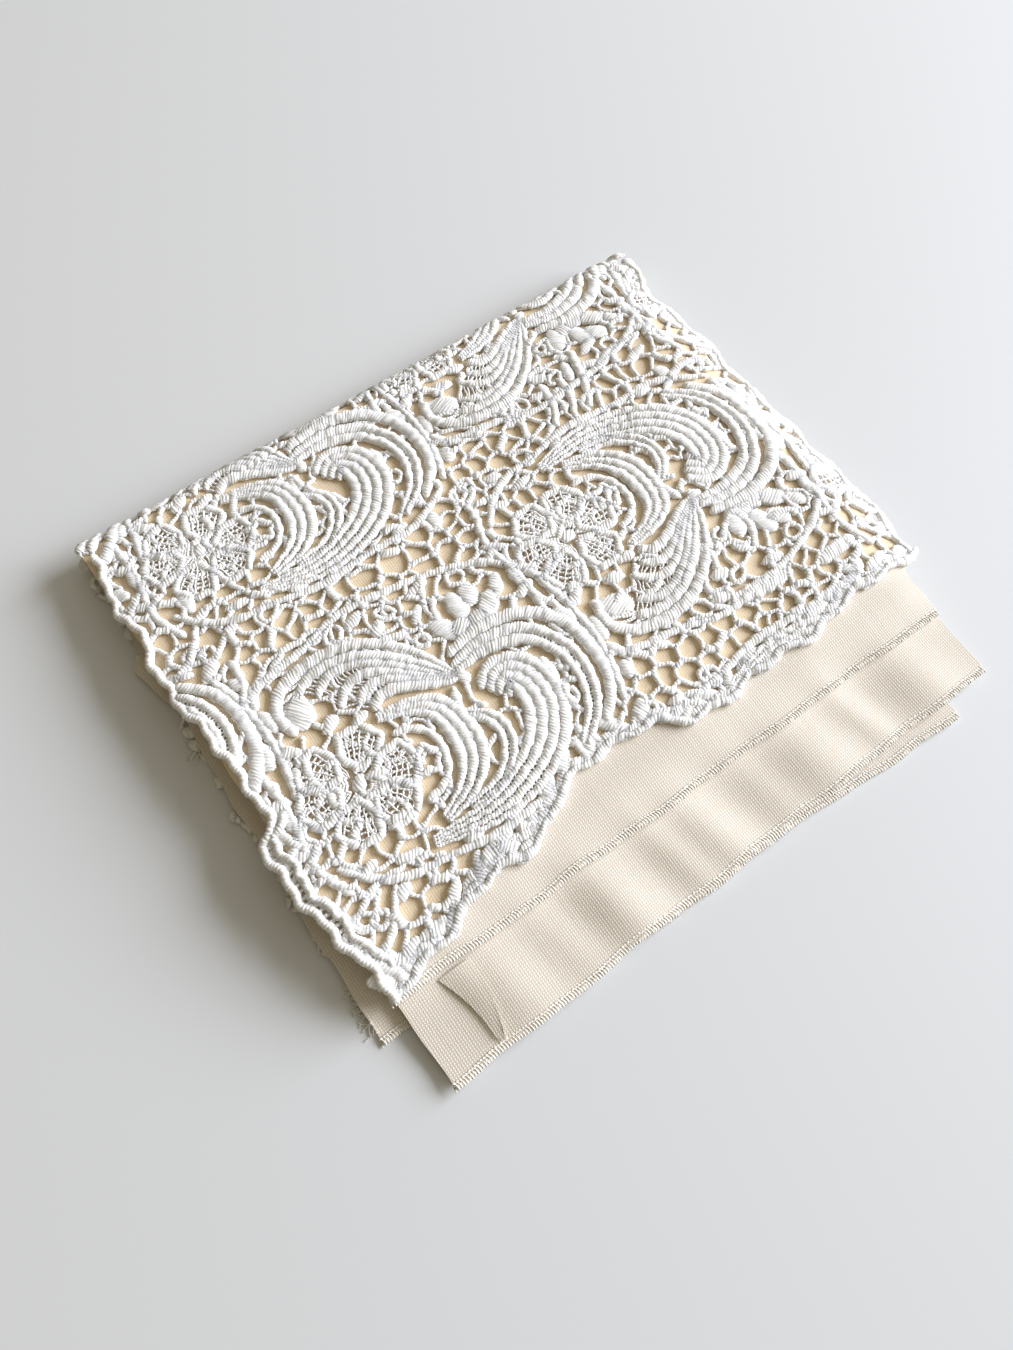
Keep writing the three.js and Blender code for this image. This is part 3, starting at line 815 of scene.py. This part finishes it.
def thread_piece(name, lines, radius, sides=5):
    """Round threads as solids: a ring of the radius at each point, square to the thread. lines are
    pairs of points and of directions that lie across the thread."""
    threads = [points for points, _ in lines]
    aside = np.vstack([across for _, across in lines])
    path, ahead, run, _, _ = follow(threads)
    aside = unit(aside - ahead * (aside * ahead).sum(1)[:, None])
    other = np.cross(ahead, aside)
    size = np.broadcast_to(np.asarray(radius, float), len(path))
    turn = 2 * math.pi * np.arange(sides) / sides
    ring = aside[:, None] * np.cos(turn)[None, :, None] + other[:, None] * np.sin(turn)[None, :, None]
    uv = np.stack([np.repeat(run, sides), (size[:, None] * turn).ravel()], 1)
    return tubes(name, path[:, None] + ring * size[:, None, None], threads, uv)


sewing_cotton = satin_cotton("overlock_cotton_thread", "#FDFAF4", "#F3EEE4", 0.0)
stitch_pitch = 1.4  # one turn of a looper thread
loop_height = 0.28  # half the height of the thread loops round a hem


def overlock(name, node, body, waves, cloth, shift=None):
    """A three-thread overlock on a hem: two looper threads wind round the cut edge, and a needle
    thread lies along its inner side in short stitches. shift(x) is the hem's, as for its lining."""
    left, right = ends_of(node)
    found = corners_of(node)
    half_width = 0.85
    reach = right - left
    span = math.hypot(reach[0], reach[1])
    direction = np.array([reach[0], reach[1], 0]) / span
    inward = np.array([-direction[1], direction[0], 0])
    up = np.array([0, 0, 1.0])

    def middle(t):
        """The hem's own line at a share t of its length, on the waves of its cloth."""
        x, y = left[0] + reach[0] * t, left[1] + reach[1] * t
        wander = 0.28 * np.sin(x / 6.1) + 0.18 * np.sin(x / 2.7 + 1) + (0 if shift is None else shift(x))
        z = waves(x, y, np.interp(y + half_width, *cloth)) + lining_thickness / 2
        return np.stack([x, y + wander, np.maximum(z, 0.62)], -1)

    points_per_turn = 11
    turns = span / stitch_pitch
    t = np.linspace(0, 1, int(turns * points_per_turn))
    lines = []
    for start in (0.0, 0.5):
        angle = 2 * math.pi * (t * turns + start)
        uneven = 1 + 0.10 * np.sin(t * turns * 1.7 + start * 5)
        across = inward * np.cos(angle)[:, None] * half_width * uneven[:, None]
        height = up * np.sin(angle)[:, None] * loop_height
        lean = direction * (0.35 * np.sin(angle))[:, None]
        lines.append((middle(t) + across + height + lean, across + height * 2))
    stitches = np.linspace(0, 1, int(turns * 6))
    needle = middle(stitches) + inward * (half_width * 0.92)
    needle = needle + up * (0.27 + 0.10 * np.cos(2 * math.pi * stitches * turns))[:, None]
    edge = thread_piece(name, lines, 0.15)
    seam = thread_piece(name + "_needle", [(needle, np.tile(inward, (len(needle), 1)))],
                        0.14 + 0.08 * np.abs(np.sin(math.pi * stitches * turns)))

    def on_hem(along, aside, lift):
        """Places the flat core on the hem's line."""
        return middle(along / span) + inward * aside[..., None] + up * (lift - loop_height)[..., None]

    core_at = np.linspace(0, 1, int(span))
    core = sweep(name + "_core", [(np.stack([core_at * span, core_at * 0], 1), np.full(len(core_at), 1.6),
                                   np.full(len(core_at), 0.56))],
                 on_hem, ridge=0.04)
    for piece, look in ((edge, sewing_cotton), (seam, sewing_cotton), (core, lining_cotton)):
        fit_out(piece, look, body, node)
    return [edge, seam, core]


def loose_corner(y):
    """A corner of the lining's left side that has slipped out from under the lace."""
    return 3.6 * np.clip(1 - np.abs(y - 44) / np.where(y > 44, 3, 15), 0, 1), 0 * y


base_lining, base_lining_size = lining("base_lining_cloth", "base_lining", "base_overlock", "base", lies_flat,
                                       bulge=loose_corner)
base_hem = overlock("base_overlock_thread", "base_overlock", "base", lies_flat, profile("base_lining"))
chance = np.random.default_rng(21)
loose = []
for k in range(40):
    if k < 28:
        root = (-85.4, chance.uniform(-60, -50))
        aim = math.pi + chance.uniform(-0.7, 0.7)
        reach = chance.uniform(1, 3.4)
    else:
        root = (-85.6, chance.uniform(14, 18))
        aim = math.pi + chance.uniform(-0.5, 0.5)
        reach = chance.uniform(2, 5)
    t = np.linspace(0, 1, 8)
    turn = aim + chance.uniform(-0.9, 0.9) * t
    thread = np.stack([root[0] + reach * t * np.cos(turn), root[1] + reach * t * np.sin(turn),
                       0.25 + 1.4 * (1 - t) ** 2], 1)
    loose.append((thread, np.tile((0, 0, 1.0), (8, 1))))
fray = thread_piece("base_lining_fray", loose, 0.09)
fit_out(fray, sewing_cotton, "base", "base_lining")

inner_lining, inner_lining_size = lining("base_inner_lining_cloth", "base_inner_lining", "base_inner_overlock",
                                         "base", lies_flat, shift=drawn_back)
inner_hem = overlock("base_inner_overlock_thread", "base_inner_overlock", "base", lies_flat,
                     profile("base_inner_lining"), drawn_back)


# ---- Pad: wadding between two cotton covers ----
# A thin bonded wadding, cut square, in a cover of two plain cotton sheets sewn together at the rim.
# It lies loose on the lower linings and gives the cover its soft crown.
def box_mm(node):
    """A CAD node's lowest and highest corners, in millimetres."""
    low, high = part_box(node)
    return np.array(low) / mm, np.array(high) / mm


pad_low, pad_high = box_mm("pad_cover_top")
fill_low, fill_high = box_mm("pad_wadding")
pad_middle = (pad_low + pad_high) / 2
pad_half = (pad_high - pad_low) / 2
pad_cotton = plain_weave("calico_pad_cover", "#F4EDDE", "#E2D8C3", "#E2D8C3")


def pad_plan(u, v):
    """The rim's plan: a rectangle with rounded corners whose sides pull in a little between them."""
    pull = 1.6
    x = pad_half[0] * u - pull * u * (1 - v**2)
    y = pad_half[1] * v - pull * v * (1 - u**2)
    corner = 3.0 * (np.abs(u) * np.abs(v)) ** 12
    return pad_middle[0] + x - np.sign(u) * corner, pad_middle[1] + y - np.sign(v) * corner


def crown(u, v):
    """How full the pad is: nothing at the rim, rising steeply and then level."""
    return ((1 - np.abs(u) ** 7) * (1 - np.abs(v) ** 7)) ** 0.6


def puckers(u, v):
    """Small gathers along the seam, fading a short way in."""
    near_x = np.exp(-((1 - np.abs(u)) * 9))
    near_y = np.exp(-((1 - np.abs(v)) * 7))
    return near_x * np.sin(v * 61) + near_y * np.sin(u * 83)


u, v = np.meshgrid(np.linspace(-1, 1, 120), np.linspace(-1, 1, 90), indexing="ij")
u = np.sign(u) * np.abs(u) ** 0.8
v = np.sign(v) * np.abs(v) ** 0.8
pad_x, pad_y = pad_plan(u, v)
rim_z = fill_low[2]
cover_gap = 0.15  # between the wadding and its upper cover
full = crown(u, v)
gathers = puckers(u, v) * (1 - full)
top_z = rim_z + (pad_high[2] - 0.5 - rim_z) * full + 0.16 * gathers + cover_gap
low_z = rim_z - (rim_z - pad_low[2] + 0.75) * full - 0.08 * gathers
flat_uv = np.stack([pad_x, pad_y], -1)
cover_top = slab("pad_cover_top_sheet", np.stack([pad_x, pad_y, top_z], -1),
                 np.stack([pad_x, pad_y, top_z + 0.4], -1), flat_uv)
under_z = np.maximum(low_z - 0.4, pad_low[2] - 0.75)
cover_bottom = slab("pad_cover_bottom_sheet", np.stack([pad_x, pad_y, under_z], -1),
                    np.stack([pad_x, pad_y, low_z], -1), flat_uv)
fill_x = pad_middle[0] + (pad_x - pad_middle[0]) * 0.965
fill_y = pad_middle[1] + (pad_y - pad_middle[1]) * 0.965
fleece = 0.05 * np.sin(pad_x * 2.1) * np.sin(pad_y * 1.7)
wadding = slab("pad_wadding_sheet", np.stack([fill_x, fill_y, rim_z + 0.1 - 0.5 * full], -1),
               np.stack([fill_x, fill_y, rim_z + 0.35 + (fill_high[2] - rim_z) * full + fleece], -1), flat_uv)
rim = np.linspace(-1, 1, 60)
around = np.concatenate([np.stack([rim, -np.ones(60)], 1), np.stack([np.ones(60), rim], 1),
                         np.stack([-rim, np.ones(60)], 1), np.stack([-np.ones(60), -rim], 1)])
seam_x, seam_y = pad_plan(around[:, 0] * 0.985, around[:, 1] * 0.985)
seam_line = spline(np.stack([seam_x, seam_y], 1), 0.5)
beat = np.arange(len(seam_line)) * 0.5
seam_points = np.column_stack([seam_line, rim_z + 0.62 + 0.12 * np.cos(2 * math.pi * beat / 2.5)])
pad_seam = thread_piece("pad_rim_stitches", [(seam_points, np.tile((0, 0, 1.0), (len(seam_points), 1)))],
                        0.12 + 0.12 * np.abs(np.sin(math.pi * beat / 2.5)))


def bonded_wadding():
    """Bonded polyester wadding: white matted fibre, very matt, with a loose felted surface."""
    material, tree = blank_material("bonded_polyester_wadding")
    place = add(tree, "TexCoord").outputs["Object"]
    fibre = add(tree, "TexNoise", {"Vector": place, "Scale": 1 / (1.5 * mm), "Detail": 6.0, "Distortion": 2.0})
    bump = add(tree, "Bump", {"Height": fibre.outputs["Fac"], "Strength": 0.8, "Distance": 0.5 * mm})
    tint = add(tree, "Mix", {"Factor": fibre.outputs["Fac"], "A": linear("#E8E6E0"), "B": linear("#FAF9F6")},
               data_type="RGBA")
    shader = add(tree, "BsdfPrincipled", {"Base Color": tint.outputs["Result"], "Roughness": 0.95,
                                          "Normal": bump.outputs["Normal"], "Sheen Weight": 0.3})
    add(tree, "OutputMaterial", {"Surface": shader.outputs["BSDF"]})
    return material


for piece, node, slot_name, look in (
    (cover_bottom, "pad_cover_bottom", "pad_cotton", pad_cotton),
    (wadding, "pad_wadding", "wadding", bonded_wadding()),
    (cover_top, "pad_cover_top", "pad_cotton", pad_cotton),
    (pad_seam, "pad_cover_top", "pad_cotton", sewing_cotton),
):
    fit_out(piece, look, "base", node)


# ---- Upper linings, folded over the pad ----
# The same two linings on the flap. Their hems step back from each other at the front, and soft folds
# run in from the hems where the cloth isn't pressed.
left_side, right_side = pad_low[0] + 1.5, pad_high[0] - 5  # beyond these the flap's layers sink
settle_to = 3.2  # the height they sink towards


def fold_fade(y):
    """One on the panel, falling to nothing over the last stretch before the fold."""
    t = np.clip((fold_y - y) / 14, 0, 1)
    return t * t * (3 - 2 * t)


def soft(x, y, z):
    """The flap's layers on the heights z: their sides sink towards the layers below, the whole is
    slightly lumpy, and folds stand between dents along the front band."""
    k = 0.24 * np.clip((left_side - x) / 7, 0, 1) ** 2 + 0.8 * np.clip((x - right_side) / 17, 0, 1.1) ** 2
    z = np.where(z > settle_to, settle_to + (z - settle_to) * (1 - k * fold_fade(y)), z)
    lumps = 0.30 * (1 + np.sin(x / 7.3 + 0.9 * np.sin(y / 11)) * np.sin(y / 8.3 + 0.8 * np.sin(x / 13)))
    near = np.exp(-(((y + 68) / 13) ** 2))
    folds = sum(high * np.exp(-(((x - at + 0.25 * (y + 68)) / wide) ** 2))
                for at, wide, high in ((-58, 7, 0.9), (-43, 5, 0.6), (-29, 7, 1.5), (-12, 4, 0.7), (-2, 6, 1.1),
                                       (14, 5, 0.6), (28, 9, 1.4), (44, 4, 0.7), (62, 8, 1.2)))
    return z + fold_fade(y) * (lumps + 1.25 * near * folds)


flap_inner, flap_inner_size = lining("flap_inner_lining_cloth", "flap_inner_lining", "flap_inner_overlock",
                                     "flap", soft)
flap_inner_hem = overlock("flap_inner_overlock_thread", "flap_inner_overlock", "flap", soft,
                          profile("flap_inner_lining"))


# ---- Turned corner ----
# A thin corner of the inner lining's hem allowance, turned over on itself at the front left.
def turned_corner():
    """A three-cornered flap of lining: its rolled side lies along the fold line and its free point
    lifts a little off the lining."""
    low, high = box_mm("corner_turnback")
    u, v = np.meshgrid(np.linspace(0, 1, 26), np.linspace(0, 1, 34), indexing="ij")
    left_line = low[0] + 1 + 3.5 * v + 2.2 * np.sin(math.pi * v) * 0.4
    right_line = left_line + 7.5 * (1 - 0.75 * v)
    x = left_line + (right_line - left_line) * u
    y = high[1] - (high[1] - low[1]) * v - 1.5 * np.sin(math.pi * u) * v
    under = soft(x, y, np.interp(y, *profile("corner_turnback")))
    z = under + 0.08 + 0.3 * u**2 * v + 0.3 * np.sin(math.pi * u) * (1 - v)
    low_face = np.stack([x, y, z], -1)[:, ::-1]
    high_face = low_face + (0, 0, 0.25)
    return slab("corner_turnback_cloth", low_face, high_face, low_face[..., :2].copy())


corner = turned_corner()
fit_out(corner, lining_cotton, "flap", "corner_turnback")


# ---- Lace edges: where the top panel ends ----
# The front is cut along the lace's own scallops. The left side ends in a satin cord that wanders in
# and out.
front_corner = corners_of("side_edge_cord")[:, 1].min()
scallops = [(0, 0), (0.05, 1), (0.114, 4), (0.2, 9), (0.29, 10.5), (0.364, 16.5), (0.455, 19), (0.511, 17),
            (0.557, 12.5), (0.67, 13.4), (0.75, 13.2), (0.818, 14.6), (0.892, 16), (0.977, 15.5), (1, 15)]
cover_width = base_right - base_left
scallop_line = spline([(base_left + share * cover_width, front_corner + rise) for share, rise in scallops], 0.4)


def lace_front(x):
    """Where the lace's scalloped front lies along Y, with the small lobes of its leaves."""
    return np.interp(x, scallop_line[:, 0], scallop_line[:, 1]) + 0.7 * np.sin(x / 1.9) + 0.5 * np.sin(x / 4.3)


def under_right_side(y):
    """The top lining's right side runs out under the lace, behind its hem."""
    t = np.clip((y + 47) / 8, 0, 1) * np.clip((70 - y) / 8, 0, 1)
    return 0 * y, 5.6 * t * t * (3 - 2 * t)


flap_top, flap_top_size = lining("flap_top_lining_cloth", "flap_top_lining", "flap_top_overlock", "flap", soft,
                                 lace_front, bulge=under_right_side)
flap_top_hem = overlock("flap_top_overlock_thread", "flap_top_overlock", "flap", soft,
                        profile("flap_top_lining"))

side_route = [(5.5, 0), (4.7, 0.09), (3, 0.14), (5.6, 0.19), (4, 0.28), (4.2, 0.36), (6.2, 0.46), (7.4, 0.64),
              (3.2, 0.68), (4, 0.78), (6, 0.86), (8, 0.92), (10, 1)]
side_back = fold_y - 1.9
side_line = spline([(base_left + inset, side_back + share * (front_corner - side_back))
                    for inset, share in side_route], 0.3)
side_wander = 0.55 * np.sin(side_line[:, 1] / 2.1) + 0.3 * np.sin(side_line[:, 1] / 0.9 + 1)
side_line = side_line + np.stack([side_wander, np.zeros(len(side_line))], 1)
lace_profile = profile("lace_top")


def lace_under(x, y):
    """The height of the lace's underside on the flap."""
    return soft(x, y, np.interp(y, *lace_profile))


def over_panel(x, s, lift):
    """Places the strip on the flap and round the fold: lift is square to the lace, and is pressed
    down as the lace comes round to the table."""
    y = np.minimum(s, fold_y)
    e = 0.5
    slope_x = (lace_under(x + e, y) - lace_under(x - e, y)) / (2 * e)
    slope_y = (lace_under(x, y + e) - lace_under(x, y - e)) / (2 * e) * (s < fold_y)
    normal = np.stack([-slope_x, -slope_y, np.ones_like(x)], -1)
    normal /= np.linalg.norm(normal, axis=-1)[..., None]
    panel = np.stack([x, y, lace_under(x, y)], -1) + normal * lift[..., None]
    turned = np.maximum(s - fold_y, 0) / fold_turn
    angle = math.pi / 2 - math.pi * turned
    radius = fold_inner + lift * (1 - 0.28 * turned)
    wrapped = np.stack([x, fold_y + radius * np.cos(angle), fold_z + radius * np.sin(angle)], -1)
    return np.where((s > fold_y)[..., None], wrapped, panel)


def side_at(y):
    """The left side's X where the lace meets its cord."""
    return np.interp(-y, -side_line[:, 1], side_line[:, 0])


def right_at(s):
    """The right side's X, cut along the lace's leaves."""
    return right_edge - 1.6 + 0.9 * np.sin(s / 2.6) + 0.6 * np.sin(s / 5.1)


def flap_inside(x, s):
    """The top panel's outline: scalloped front, corded left side and a lumpy right side."""
    return (s < fold_y - fold_clear) & (s > lace_front(x) + 0.4) & (x > side_at(s) + 0.3) & (x < right_at(s))


def fold_inside(x, s):
    """The stretch of the strip in the fold, and over it to the panels' own work."""
    reach = fold_clear + 0.3
    return (s > fold_y - reach) & (s < under_start + reach) & (np.abs(x) < right_edge - 0.5)


# ---- Upper lace panel ----
# The strip's top panel: ribs, petals, scrolls and leaves in relief, with bars between them.
border = spline(np.stack([scallop_line[:, 0], lace_front(scallop_line[:, 0])], 1), stitch_step)
border = border[(border[:, 0] > side_at(border[:, 1])) & (border[:, 0] < right_edge)]
edge_cord = [(border, 1.9 + 0.4 * np.sin(border[:, 0] / 2.4), np.full(len(border), 1.35))]
side_s = np.arange(lace_front(right_edge - 2) + 0.5, fold_y, stitch_step)
edge_cord.append((np.stack([right_at(side_s) - 0.7, side_s], 1), 2.1 + 0.7 * np.sin(side_s / 1.9),
                  np.full(len(side_s), 1.3)))
chance = np.random.default_rng(3)
lobes = []
for k, x in enumerate(np.arange(left_edge + 5, right_edge - 3, 3.6)):
    slope = (lace_front(x + 2) - lace_front(x - 2)) / 4
    lean = math.atan(slope) + (0.25 if k % 2 else 0.9) * chance.uniform(-1, 1)
    length, width = chance.uniform(7, 10), chance.uniform(2.8, 4)
    lobes.append(leaf(x, lace_front(x) + (0.9 if k % 2 else 3.2), length, width, lean))
on_flap = {"place": over_panel, "body": "flap", "node": "lace_top"}
lace_ribs = lace_part("lace_top_ribs", kept(strip["ribs"], flap_inside), seed=5, **on_flap)
lace_cords = lace_part("lace_top_cords", kept(strip["cords"], flap_inside), seed=6, **on_flap)
lace_leaves = lace_part("lace_top_leaves", kept(strip["leaves"], flap_inside) + edge_cord + lobes, seed=4,
                        **on_flap)
lace_bars = lace_part("lace_top_bars", kept(bars_all, flap_inside), sides=6, ridge=0.06, seed=8, **on_flap)
lace_nets = lace_part("lace_top_nets", kept(strip["nets"], flap_inside), cotton=net_cotton, sides=4, ridge=0.0,
                      seed=9, **on_flap)


# ---- Side cord ----
# A wrapped satin cord that edges the lace's left side. Towards the front a second, flat cord runs
# beside it on the lace, joined to it by a ladder of short stitches.


def wrapped_cord(name, line, radius, pitch):
    """A cord with thread wound round it: a ring at each point, whose radius rises and falls as a
    helix of the given pitch goes by."""
    run = np.r_[0, np.cumsum(np.linalg.norm(np.diff(line, axis=0), axis=1))]
    sides = 12
    turn = -2 * math.pi * np.arange(sides) / sides
    ahead = unit(np.gradient(line, axis=0))
    aside = unit(np.cross(ahead, (0, 0, 1.0)))
    other = np.cross(aside, ahead)
    wound = 1 + 0.075 * np.cos(2 * turn[None] - 2 * math.pi * run[:, None] / pitch)
    tip = np.clip(np.minimum(run, run[-1] - run) / radius, 0, 1)
    size = radius * wound * np.sqrt(np.maximum(1 - (1 - tip) ** 2, 0.05))[:, None]
    size = size * (1 + 0.05 * np.sin(run / 2.7))[:, None]
    rings = (line[:, None] + aside[:, None] * (np.cos(turn) * size)[..., None]
             + other[:, None] * (np.sin(turn) * size)[..., None])
    uv = np.stack([np.repeat(run, sides), (size * (2 * math.pi + turn)).ravel()], 1)
    return tubes(name, rings, [line], uv)


cord_fine = spline(side_line, 0.22)
cord_z = lace_under(cord_fine[:, 0], cord_fine[:, 1]) + 0.75 + 0.25 * np.sin(cord_fine[:, 1] / 5)
side_cord = wrapped_cord("side_edge_cord_satin", np.column_stack([cord_fine, cord_z]), radius=1.05, pitch=1.3)
along_cord = side_line[(side_line[:, 1] < -12) & (side_line[:, 1] > front_corner + 6)]
lane = 3.1  # how far the second cord lies from the first
second_line = along_cord + (lane, 0)
second_cord = (second_line, np.full(len(second_line), 1.9), np.full(len(second_line), 1.5))
rungs = []
for x, y in along_cord[::5]:
    rung = np.column_stack([np.linspace(x, x + lane, 6), np.full(6, y)])
    rungs.append((rung, np.full(6, 0.8), np.full(6, 0.9)))
ladder = sweep("side_edge_ladder", [second_cord] + rungs, over_panel, seed=11)
for piece in (side_cord, ladder):
    fit_out(piece, lace_cotton, "flap", "side_edge_cord")


# ---- Back fold ----
# The same lace and linings where they turn round from the flap to the base: three nested half turns.
in_fold = {"place": over_panel, "body": "fold", "node": "fold_lace"}
fold_lace = lace_part("fold_lace_cords", kept(strip["leaves"] + strip["cords"], fold_inside), seed=12,
                      **in_fold)
fold_nets = lace_part("fold_lace_ribs", kept(strip["ribs"] + strip["nets"], fold_inside), seed=14, **in_fold)
fold_bars = lace_part("fold_lace_bars", kept(bars_all, fold_inside), sides=6, ridge=0.05, seed=13, **in_fold)


def half_turn(node):
    """A lining round the fold: a half ring from the flap round to the base, with a short flat lead
    at each end that meets the panels."""
    low, high = box_mm(node)
    outer = (high[2] - low[2]) / 2
    across = int((high[0] - low[0]) / 2)
    u, v = np.meshgrid(np.linspace(low[0], high[0], across), np.linspace(-0.1, 1.1, 32), indexing="ij")
    angle = math.pi / 2 - math.pi * np.clip(v, 0, 1)
    lead = np.maximum(np.maximum(-v, v - 1), 0) * math.pi * outer
    faces = [np.stack([u, fold_y + r * np.cos(angle) - lead, fold_z + r * np.sin(angle)], -1)
             for r in (outer - lining_thickness, outer)]
    piece = slab(node + "_cloth", faces[0], faces[1], np.stack([u, fold_y + v * math.pi * outer], -1))
    # painted shade over the whole of the fold lining, as under the lace
    paint_lace_shade_mask(piece, np.ones(len(piece.data.vertices)))
    fit_out(piece, lining_cotton, "fold", node)


half_turn("fold_lining")
half_turn("fold_inner_lining")
